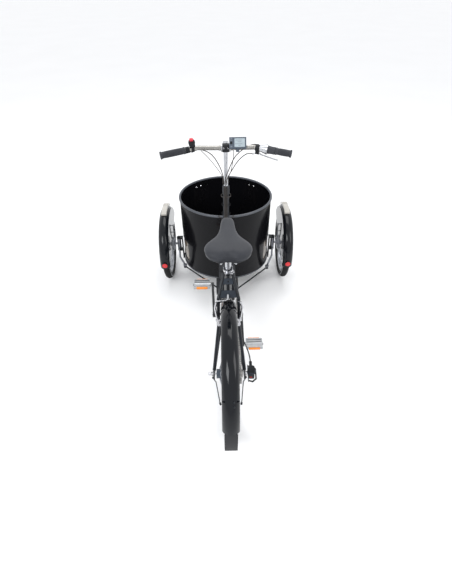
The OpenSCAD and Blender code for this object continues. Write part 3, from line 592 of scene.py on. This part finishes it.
def make_tyres():
    make_tyre("rear_tyre", REAR_AXLE, REAR_R, REAR_RIM_R, REAR_TYRE_W, "rear_wheel", 84)
    for side in SIDES:
        make_tyre(f"front_tyre_{side}", front_axle(side), FRONT_R, FRONT_RIM_R, FRONT_TYRE_W,
                  f"front_wheel_{side}", 64)


make_tyres()

# ---------- chain ----------

PITCH = 12.7 * MM
CHAIN_X = centre("chain").x
LINK_R = 4.2 * MM
LINK_WAIST = 2.7 * MM
LINK_HALF = 0.5 * MM


def chain_path():
    """Places of the chain's pins, round both wheels."""
    ring_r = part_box("chain")[1][1] - CRANK_AXLE.y - 4 * MM
    cog_r = REAR_AXLE.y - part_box("chain")[0][1] - 4 * MM
    gap = CRANK_AXLE - REAR_AXLE
    span = math.hypot(gap.y, gap.z)
    turn = math.atan2(gap.z, gap.y)
    lean = math.acos((ring_r - cog_r) / span)
    straight = math.sqrt(span ** 2 - (ring_r - cog_r) ** 2)
    big = 2 * (math.pi - lean) * ring_r
    small = 2 * lean * cog_r
    total = big + small + 2 * straight
    count = 2 * round(total / PITCH / 2)
    places = []
    for i in range(count):
        s = total * i / count
        if s < big:
            a = turn - math.pi + lean + s / ring_r
            places.append(CRANK_AXLE + Vector((0, math.cos(a), math.sin(a))) * ring_r)
            continue
        s -= big
        a = turn + math.pi - lean
        start = CRANK_AXLE + Vector((0, math.cos(a), math.sin(a))) * ring_r
        if s < straight:
            end = REAR_AXLE + Vector((0, math.cos(a), math.sin(a))) * cog_r
            places.append(start + (end - start) * s / straight)
            continue
        s -= straight
        if s < small:
            b = a + s / cog_r
            places.append(REAR_AXLE + Vector((0, math.cos(b), math.sin(b))) * cog_r)
            continue
        s -= small
        b = turn - math.pi + lean
        start = REAR_AXLE + Vector((0, math.cos(b), math.sin(b))) * cog_r
        end = CRANK_AXLE + Vector((0, math.cos(b), math.sin(b))) * ring_r
        places.append(start + (end - start) * s / straight)
    return [Vector((CHAIN_X, p.y, p.z)) for p in places]


def link_plate(a, b, x):
    """A plate with two round ends and a waist between two pins."""
    way = (b - a).normalized()
    side = X.cross(way)
    outline = []
    for centre_at, base in ((b, -80), (a, 100)):
        for k in range(5):
            ang = math.radians(base + 40 * k)
            outline.append(centre_at + (way * math.cos(ang) + side * math.sin(ang)) * LINK_R)
    middle = (a + b) / 2
    outline.insert(5, middle + side * LINK_WAIST)
    outline.append(middle - side * LINK_WAIST)
    n = len(outline)
    points = [p + X * (x + layer) for layer in (-LINK_HALF, LINK_HALF) for p in outline]
    faces = [tuple(range(n)), tuple(n + k for k in range(n))]
    faces += [(k, (k + 1) % n, n + (k + 1) % n, n + k) for k in range(n)]
    return points, faces


def make_chain():
    pins = chain_path()
    parts = []
    for i, p in enumerate(pins):
        q = pins[(i + 1) % len(pins)]
        offset = 3.6 * MM if i % 2 else 2.4 * MM
        parts += [link_plate(p, q, -offset), link_plate(p, q, offset)]
        parts.append(turned(p - X * 2.2 * MM, X, [(3.6 * MM, 0), (3.6 * MM, 4.4 * MM)], 10))
        parts.append(turned(p - X * 4.6 * MM, X, [(1.5 * MM, 0), (1.5 * MM, 9.2 * MM)], 8))
    links = piece("chain_links", together(parts), "chain", "frame", "chain_steel", smooth=False)
    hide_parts("chain")


make_chain()

# ---------- handlebar fittings ----------

BAR_END = {side: Vector((sign * 0.311, 0.170, 1.078)) for side, sign in SIDES.items()}
BAR_BEND = {side: Vector((sign * 0.138, 0.222, 1.093)) for side, sign in SIDES.items()}
BAR_R = 11.1 * MM


def inward(side):
    return (BAR_BEND[side] - BAR_END[side]).normalized()


def grip_profile(length):
    """A ribbed sleeve with a flared outer end and a thin inner collar."""
    profile = [(6.8 * MM, -5 * MM), (15.5 * MM, -5 * MM), (18.2 * MM, -3.4 * MM),
               (18.6 * MM, -1 * MM), (18.2 * MM, 1.6 * MM), (16.4 * MM, 4 * MM)]
    spacing = 2.6 * MM
    ribs = int((length - 18 * MM) / spacing)
    for i in range(ribs):
        s = 7 * MM + i * spacing
        swell = 0.7 * MM * math.sin(math.pi * (i + 0.5) / ribs)
        profile += [(15.0 * MM + swell, s), (15.7 * MM + swell, s + 0.8 * MM),
                    (15.7 * MM + swell, s + 1.8 * MM)]
    profile += [(15.2 * MM, length - 8 * MM), (17.2 * MM, length - 6 * MM),
                (17.2 * MM, length - 1 * MM), (16 * MM, length), (BAR_R + 0.1 * MM, length)]
    return profile


def make_grips():
    for side, length in (("left", 0.118), ("right", 0.074)):
        shape = turned(BAR_END[side], inward(side), grip_profile(length), 48)
        obj = piece(f"grip_{side}_rubber", shape, "grip", "steering", "grip_rubber")
        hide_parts(f"grip_{side}")
    twist = [(BAR_R + 0.1 * MM, 75 * MM), (16 * MM, 75 * MM), (17.2 * MM, 76.5 * MM),
             (17.2 * MM, 84 * MM), (16.8 * MM, 90 * MM), (17.2 * MM, 100 * MM),
             (18.4 * MM, 108 * MM), (18.4 * MM, 111 * MM), (17.4 * MM, 112 * MM),
             (BAR_R + 0.1 * MM, 112 * MM)]
    shape = turned(BAR_END["right"], inward("right"), twist, 120, ripple=0.022, ripples=20)
    obj = piece("twist_grip_rubber", shape, "grip", "twist_grip", "grip_rubber")
    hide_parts("twist_grip")


make_grips()

DISPLAY_AT = Vector((0.058, 0.216, 1.116))
DISPLAY_TILT = Matrix.Rotation(math.radians(60), 3, "X")


def on_display(x, y, z):
    return DISPLAY_AT + DISPLAY_TILT @ (Vector((x, y, z)) * MM)


def display_block(x, y, z, w, d, h, bevel=0.25):
    return block(on_display(x, y, z), (w * MM, d * MM, h * MM), DISPLAY_TILT @ X,
                 DISPLAY_TILT @ Y, bevel)


def make_display():
    frame_bars = [display_block(9, 21.5, 8, 56, 3, 2.2), display_block(9, -20.5, 8, 56, 3, 2.2),
                  display_block(-17.5, 0.5, 8, 3, 44, 2.2), display_block(35.5, 0.5, 8, 3, 44, 2.2)]
    piece("display_bezel", together(frame_bars), "case", "steering", "display_case")
    piece("display_screen", display_block(9, 0.5, 7.6, 51, 40, 1.6, 0.2), "screen", "steering",
          "display_case")
    keys = [display_block(-31.5, y, 7.6, 10, 6, 2.4, 0.35) for y in (-18, 12, 20)]
    piece("display_keys", together(keys), "key", "steering", "display_case")
    segments = []
    for row, (y, length) in enumerate(((12, 30), (4, 18), (-5, 34), (-12, 12))):
        segments.append(display_block(4 + row % 2 * 4, y, 8.6, length, 1.6, 0.5, 0.3))
    piece("display_segments", together(segments), "key", "steering", "display_case")


make_display()


def make_bar_details():
    bar = Vector((0, 0.232, 1.088))
    cap = [(12.9 * MM, -17 * MM), (19.5 * MM, -17 * MM), (21 * MM, -15 * MM), (21 * MM, 15 * MM),
           (19.5 * MM, 17 * MM), (12.9 * MM, 17 * MM)]
    piece("stem_clamp_cover", turned(bar, X, cap, 48), "plastic", "steering", "lever_black")
    heads = [bolt(bar + Vector((x, -0.020, 0.004)), -Y, 4 * MM, 4 * MM) for x in (-0.010, 0.010)]
    piece("stem_clamp_bolts", together(heads), "chrome", "steering", "bolt")
    ferrules = []
    for start, way in ((Vector((-0.168, 0.240, 1.066)), Vector((-0.9, -0.1, 0.2))),
                       (Vector((0.172, 0.250, 1.094)), Vector((0.9, -0.2, 0.0))),
                       (Vector((0.138, 0.234, 1.056)), Vector((0.85, -0.2, 0.4)))):
        way.normalize()
        ferrules.append(turned(start - way * 0.006, way, [(2.7 * MM, 0), (3.1 * MM, 1 * MM),
                        (3.1 * MM, 13 * MM), (4.2 * MM, 14 * MM), (4.2 * MM, 20 * MM),
                        (3.4 * MM, 21 * MM), (3.4 * MM, 24 * MM)], 16, 0.04, 8))
    piece("cable_adjusters", together(ferrules), "alloy", "steering", "alloy")


make_bar_details()


def make_horn():
    at = centre("horn_button")
    up = -Vector(joints["horn_push"]["axis"]).normalized()
    dome = [(6 * MM, 0), (10.2 * MM, 0), (10.3 * MM, 1 * MM), (10.3 * MM, 4.4 * MM),
            (9.8 * MM, 6.6 * MM), (7.6 * MM, 8.4 * MM), (4.2 * MM, 9.5 * MM), (0.8 * MM, 9.9 * MM)]
    piece("horn_cap", turned(at, up, dome, 40), "horn", "horn_button", "horn_red")
    collar = [(12.2 * MM, -12 * MM), (16.4 * MM, -12 * MM), (17.2 * MM, -9 * MM),
              (16.8 * MM, -4 * MM), (14.4 * MM, -1.6 * MM), (12.2 * MM, -1.6 * MM)]
    ring = band(at - up * 0.004, up, collar, 40)
    piece("horn_collar", ring, "gloss", "steering", "black_plastic")


make_horn()

# ---------- pedals, cranks ----------


PEDAL_END = 35.9 * MM


def make_pedals():
    for side, sign in SIDES.items():
        spindle = joint_at(f"pedal_{side}_spin")
        lenses = []
        for y in (-PEDAL_END, PEDAL_END):
            at = Vector((sign * 0.142, spindle.y + y, spindle.z + 5 * MM))
            lenses.append(block(at, (61.6 * MM, 7.0 * MM, 13.4 * MM), X, Y, 0.16))
        piece(f"pedal_{side}_reflectors", together(lenses), "amber", f"pedal_{side}", "lamp")
        cap = bolt(Vector((sign * 0.1885, spindle.y, spindle.z)), X * sign, 7 * MM, 4 * MM)
        piece(f"pedal_{side}_cap", cap, "plastic", f"pedal_{side}", "black_plastic")
        arm = bolt(Vector((sign * 0.0838, CRANK_AXLE.y, CRANK_AXLE.z)), X * sign, 10 * MM, 3 * MM)
        piece(f"crank_{side}_bolt", arm, "chrome", "crank", "bolt")


make_pedals()

# ---------- front fenders and lights ----------


def arc_block(axle, low, high, half, first, last, steps=18):
    """Points and faces of a chamfered block bent round an axle, between two angles in degrees."""
    edge = 2.5 * MM
    ring = [(-half, low), (-half, high - edge), (-half + edge, high), (half - edge, high),
            (half, high - edge), (half, low)]
    points = []
    for k in range(steps + 1):
        turn = math.radians(first + (last - first) * k / steps)
        out = Vector((0, math.cos(turn), math.sin(turn)))
        points += [axle + X * x + out * r for x, r in ring]
    count = len(ring)
    faces = [tuple(range(count)), tuple(steps * count + k for k in range(count))]
    for k in range(steps):
        for i in range(count):
            j = (i + 1) % count
            faces.append((k * count + i, k * count + j, (k + 1) * count + j, (k + 1) * count + i))
    return points, faces


LAMP_LOW = FRONT_R + 18.6 * MM
LAMP_HIGH = FRONT_R + 31 * MM
RIB_R = FRONT_R + 32.3 * MM


def make_lights():
    for side in SIDES:
        axle = front_axle(side)
        at = Vector((axle.x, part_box(f"fender_lights_{side}")[0][1], FRONT_R + 8 * MM))
        lens = [(17.0 * MM, -5 * MM), (17.6 * MM, -1 * MM), (16.6 * MM, 1.4 * MM),
                (11 * MM, 3.0 * MM), (4 * MM, 3.6 * MM), (0.8 * MM, 3.7 * MM)]
        piece(f"reflector_{side}_lens", turned(at, -Y, lens, 40), "red", f"knuckle_{side}", "lamp")
        rim = band(at, -Y, [(17.2 * MM, -6 * MM), (19 * MM, -6 * MM), (19 * MM, 0.8 * MM),
                            (17.8 * MM, 1.2 * MM)], 40)
        piece(f"reflector_{side}_rim", rim, "plastic", f"knuckle_{side}", "black_plastic")
        ribs = []
        for k in range(9):
            turn = math.radians(58 + 18 * k / 8)
            out = Vector((0, math.cos(turn), math.sin(turn)))
            round_way = Vector((0, -math.sin(turn), math.cos(turn)))
            ribs.append(block(axle + out * RIB_R, (2.4 * MM, 34 * MM, 1.8 * MM), round_way, X, 0.3))
        piece(f"lamp_{side}_ribs", together(ribs), "lamp", f"knuckle_{side}", "lamp")
        cover = arc_block(axle, LAMP_LOW, LAMP_HIGH, 18 * MM, 77, 103)
        piece(f"lamp_{side}_cover", cover, "lamp", f"knuckle_{side}", "lamp")


make_lights()

# ---------- rear brake ----------

STAY_UP = Vector((0, 0.4626, 0.8866))
BRAKE_OUT = Vector((0, -0.8866, 0.4626))


def on_brake(sign, x, y, z):
    """A place in the brake's own directions: outward, out of its plane, and up along the stay."""
    pivot = joint_at("v_brake_right_swing")
    return (Vector((0, pivot.y, pivot.z)) + X * sign * (pivot.x + x * MM)
            - BRAKE_OUT * y * MM + STAY_UP * z * MM)


def make_brakes():
    for side, sign in SIDES.items():
        body = f"v_brake_{side}"
        pad = block(on_brake(sign, -22.6, -17, 17.4), (9.6 * MM, 51 * MM, 11.8 * MM), X,
                    -BRAKE_OUT, 0.2)
        piece(f"brake_pad_{side}", pad, "rubber", body, "flap_rubber")
        heads = [bolt(on_brake(sign, 0, -24, 0), BRAKE_OUT, 6.4 * MM, 4 * MM),
                 bolt(on_brake(sign, 11, -17, 18), X * sign, 5.6 * MM, 4 * MM)]
        piece(f"brake_bolts_{side}", together(heads), "chrome", body, "bolt")
        spring = tube([on_brake(sign, 4, -12, 2), on_brake(sign, 5.5, -12, 22),
                       on_brake(sign, 9, -14, 48), on_brake(sign, 13, -17, 66)], 0.8 * MM, 8, 4)
        piece(f"brake_spring_{side}", spring, "chrome", body, "bolt")
    link = [tube([on_brake(1, 12, -17, 101), on_brake(1, -3, -17, 103)], 0.9 * MM, 8, 2),
            turned(on_brake(1, 11, -24, 98), -BRAKE_OUT, [(4.6 * MM, 0), (5 * MM, 1 * MM),
                   (5 * MM, 9 * MM), (4 * MM, 10 * MM)], 6)]
    piece("brake_link_wire", together(link), "chrome", "v_brake_right", "bolt")
    boot = []
    for i in range(7):
        s = i * 3.4 * MM
        boot += [(3.6 * MM, s), (5.0 * MM, s + 1.1 * MM), (5.0 * MM, s + 2.2 * MM)]
    boot.append((3.0 * MM, 24 * MM))
    shape = turned(on_brake(-1, -32, -17, 107), X, boot, 20)
    piece("brake_boot", shape, "rubber", "v_brake_left", "flap_rubber")
    sleeve = [(3.4 * MM, 0), (4.2 * MM, 1 * MM), (4.2 * MM, 13 * MM), (3.2 * MM, 14 * MM),
              (3.2 * MM, 20 * MM)]
    shape = turned(on_brake(-1, -40, -17, 116), STAY_UP, sleeve, 16)
    piece("brake_adjuster", shape, "alloy", "v_brake_left", "alloy")


make_brakes()

# ---------- frame details ----------


def stay_plate_painted_reflection():
    """Blue-grey faces over the two plates between the seat stays: a painted sky reflection on the
    black plates.
    """
    start = Vector((0, -0.389, 0.655))
    up = Vector((0, 0.66946, 0.74284))
    out = Vector((0, -0.74284, 0.66946))
    steps = 24
    lift = out * 0.9 * MM
    parts = []
    for low, length, w0, w1, hole in ((4, 32, 37, 30, 0), (63, 26, 26, 22, 13)):
        face = start + out * 2.1 * MM
        a = face + up * low * MM
        b = face + up * (low + length) * MM
        outline = [a - X * w0 * MM, a + X * w0 * MM, b + X * w1 * MM, b - X * w1 * MM]
        if not hole:
            n = len(outline)
            points = outline + [p + lift for p in outline]
            faces = [tuple(range(n)), tuple(n + k for k in range(n))]
            faces += [(k, (k + 1) % n, n + (k + 1) % n, n + k) for k in range(n)]
            parts.append((points, faces))
            continue
        middle = a + up * hole * MM
        inner = []
        edge = []
        for k in range(steps):
            ang = 2 * math.pi * k / steps
            way = X * math.cos(ang) + up * math.sin(ang)
            inner.append(middle + way * 4.7 * MM)
            half_up = hole * MM if math.sin(ang) < 0 else (length - hole) * MM
            reach_up = half_up / max(abs(math.sin(ang)), 1e-6)
            reach_x = (w0 + w1) / 2 * MM / max(abs(math.cos(ang)), 1e-6)
            edge.append(middle + way * min(reach_up, reach_x))
        n = steps
        points = inner + edge + [p + lift for p in inner + edge]
        faces = []
        for k in range(n):
            m = (k + 1) % n
            faces += [(k, m, n + m, n + k), (2 * n + k, 2 * n + m, 3 * n + m, 3 * n + k),
                      (k, m, 2 * n + m, 2 * n + k), (n + k, n + m, 3 * n + m, 3 * n + k)]
        parts.append((points, faces))
    piece("stay_plate_painted_sky_reflection", together(parts), "slate", "frame", "frame_paint", smooth=False)


stay_plate_painted_reflection()


def make_frame_details():
    low, high = [Vector(c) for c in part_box("seat_clamp")]
    clamp_bolt = bolt(Vector((high.x - 1 * MM, low.y + 12 * MM, (low.z + high.z) / 2)), X,
                      6.5 * MM, 5 * MM)
    piece("seat_clamp_bolt", clamp_bolt, "chrome", "frame", "bolt")
    ties = []
    column = Vector((0, joint_at("steering_turn").y, 0))
    for z in (0.745, 0.690, 0.545):
        ties.append(band(column + Z * z, Z, [(23.2 * MM, 0), (24.4 * MM, 0), (24.4 * MM, 3 * MM),
                                             (23.2 * MM, 3 * MM)], 40))
        ties.append(block(column + Vector((0.012, -0.0225, z + 0.0015)),
                          (7 * MM, 4 * MM, 5 * MM), X, Y, 0.2))
    piece("column_ties", together(ties), "plastic", "frame", "black_plastic")
    loops = []
    for sign in (-1, 1):
        rim = column + Vector((sign * 0.020, 0.010, 0.656))
        loops.append(tube([rim + Vector((sign * 0.002, -0.004, -0.012)),
                           rim + Vector((sign * 0.010, -0.010, 0.004)),
                           rim + Vector((sign * 0.020, -0.002, 0.012)),
                           rim + Vector((sign * 0.026, 0.010, 0.002)),
                           rim + Vector((sign * 0.018, 0.014, -0.010))], 1.6 * MM, 10, 5))
    piece("rim_cable_loops", together(loops), "housing", "frame", "cable_skin")
    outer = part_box("rear_fender")[1][2] - REAR_AXLE.z
    angle = math.radians(52)
    out = Vector((0, math.cos(angle), math.sin(angle)))
    piece("fender_bolt", bolt(REAR_AXLE + out * (outer - 0.4 * MM), out, 6 * MM, 3 * MM), "chrome",
          "frame", "bolt")
    route = [Vector((0.102, 0.058, 0.006)), Vector((0.098, 0.100, 0.012)),
             Vector((0.082, 0.160, 0.020)), Vector((0.060, 0.230, 0.004))]
    cable_end = tube([REAR_AXLE + p for p in route], 3.0 * MM, 10, 6)
    piece("shift_cable_end", cable_end, "rubber", "frame", "cable_skin")
    dome = [(19.5 * MM, 0), (19.9 * MM, 3 * MM), (18.0 * MM, 8 * MM), (12 * MM, 12.5 * MM),
            (5 * MM, 14 * MM), (0.8 * MM, 14.2 * MM)]
    cover = turned(REAR_AXLE + Vector((0.102, -0.002, 0.012)), Z, dome, 40)
    piece("click_box_cover", cover, "slate", "frame", "black_plastic")
    mark = block(REAR_AXLE + Vector((0.100, -0.0168, -0.008)), (12 * MM, 1.4 * MM, 4 * MM), X, Y,
                 0.3)
    piece("click_box_mark", mark, "red", "frame", "horn_red")


make_frame_details()


def make_battery_details():
    low, high = [Vector(c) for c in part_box("battery")]
    middle = (low + high) / 2
    body_top = 0.492
    strips = []
    for z in (0.405, 0.470):
        strips.append(block(Vector((0, middle.y + 0.012, z)), (92.4 * MM, 226 * MM, 1.6 * MM), X, Y,
                            0.3))
    piece("battery_seams", together(strips), "plastic", "battery", "battery_case")
    lid = block(Vector((0, middle.y + 0.02, body_top + 0.002)), (80 * MM, 170 * MM, 5 * MM), X, Y,
                0.4)
    piece("battery_lid", lid, "battery", "battery", "battery_case")
    lock = bolt(Vector((0.0448, low.y + 0.05, 0.440)), X, 9 * MM, 3 * MM)
    piece("battery_lock", lock, "chrome", "battery", "bolt")


make_battery_details()


def make_hub_details():
    for side, sign in SIDES.items():
        axle = front_axle(side)
        nut = turned(axle + X * sign * 0.0352, X * sign, [(9.2 * MM, 0), (9.2 * MM, 6 * MM),
                     (7.4 * MM, 8 * MM), (4 * MM, 9.2 * MM), (0.8 * MM, 9.4 * MM)], 24)
        piece(f"front_axle_cap_{side}", nut, "chrome", f"knuckle_{side}", "bolt")
        fins = [band(axle + X * sign * x * MM, X, [(48.1 * MM, 0), (49.6 * MM, 0.4 * MM),
                     (49.6 * MM, 1.8 * MM), (48.1 * MM, 2.2 * MM)], 64) for x in (-28, -22, -16, -10)]
        piece(f"drum_fins_{side}", together(fins), "alloy", f"front_wheel_{side}", "alloy")
        bolts = []
        for k in range(5):
            a = 2 * math.pi * k / 5
            spot = axle + Vector((-sign * 0.0378, 0.038 * math.cos(a), 0.038 * math.sin(a)))
            bolts.append(bolt(spot - X * sign * 0.004, -X * sign, 3.2 * MM, 2.4 * MM, 16))
        piece(f"drum_plate_bolts_{side}", together(bolts), "chrome", f"knuckle_{side}", "bolt")
    # The collars take the hub's blue-grey, a painted highlight on black.
    collar = [(33.1 * MM, 0), (34.6 * MM, 0.6 * MM), (34.6 * MM, 3.4 * MM), (33.1 * MM, 4 * MM)]
    collars = [band(REAR_AXLE + X * x * MM, X, collar, 64) for x in (-20, 12)]
    piece("rear_hub_collars", together(collars), "hub", "rear_wheel", "hub_grey")


make_hub_details()


# The tub's side walls are arcs: how far out each one's centre is, and its radius at the screws
TUB_ARC_X = 36.7 * MM
TUB_ARC_R = 260.2 * MM


def make_tub_details():
    """Two rows of screws, along the upper and lower edge of each side window."""
    low, high = [Vector(c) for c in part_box("tub_windows")]
    middle_y = centre("tub_floor").y
    screws = []
    for sign in (-1, 1):
        for k in range(7):
            angle = math.radians(-30 + 10 * k)
            out = Vector((math.cos(angle) * sign, math.sin(angle), 0))
            spot = Vector((sign * TUB_ARC_X, middle_y, 0)) + out * TUB_ARC_R
            for z in (low.z + 0.004, high.z - 0.004):
                screws.append(bolt(spot + Z * z - out * 0.0095, -out, 3.2 * MM, 2 * MM, 16))
    piece("window_screws", together(screws), "chrome", "frame", "bolt")


make_tub_details()

# ---------- camera, light and floor ----------


CAMERA_AT = (-0.021, -1.598, 1.773)
CAMERA_PITCH = 41.74
CAMERA_YAW = 0.483
CAMERA_ROLL = -0.558
CAMERA_LENS = 22.9
FLOOR_HALF = 60.0
FLOOR_Z = -1.2 * MM


def make_camera():
    """Behind and above the machine, looking forward and down at it."""
    data = bpy.data.cameras.new("camera")
    data.lens = CAMERA_LENS
    data.sensor_width = 36
    camera = bpy.data.objects.new("camera", data)
    bpy.context.collection.objects.link(camera)
    turn = (Matrix.Rotation(math.radians(-CAMERA_YAW), 4, "Z")
            @ Matrix.Rotation(math.radians(90 - CAMERA_PITCH), 4, "X")
            @ Matrix.Rotation(math.radians(CAMERA_ROLL), 4, "Z"))
    camera.matrix_world = Matrix.Translation(CAMERA_AT) @ turn
    bpy.context.scene.camera = camera


def area_light(name, at, aim, size, power, colour=(1, 1, 1)):
    data = bpy.data.lights.new(name, "AREA")
    data.shape = "RECTANGLE"
    data.size, data.size_y = size
    data.energy = power
    data.color = colour
    obj = bpy.data.objects.new(name, data)
    bpy.context.collection.objects.link(obj)
    obj.location = at
    obj.rotation_euler = (Vector(aim) - Vector(at)).to_track_quat("-Z", "Y").to_euler()


def make_studio():
    world = bpy.data.worlds.new("studio")
    bpy.context.scene.world = world
    world.use_nodes = True
    back = world.node_tree.nodes["Background"]
    back.inputs["Color"].default_value = (0.97, 0.98, 1.0, 1)
    back.inputs["Strength"].default_value = 1.05
    area_light("key", (-2.2, -2.6, 3.4), (0, 0, 0.4), (2.0, 1.4), 70, (0.96, 0.98, 1.0))
    area_light("fill", (2.8, -1.2, 2.4), (0, 0.2, 0.4), (1.2, 1.8), 25)
    area_light("top", (0.2, 1.2, 3.6), (0, 0.2, 0.2), (2.4, 1.6), 40)
    bpy.context.scene.view_settings.view_transform = "Standard"

    corners = [(-1, -1), (1, -1), (1, 1), (-1, 1)]
    points = [(x * FLOOR_HALF, y * FLOOR_HALF, FLOOR_Z) for x, y in corners]
    floor = add_mesh("floor", points, [(0, 1, 2, 3)], "floor", smooth=False)


make_camera()
make_studio()
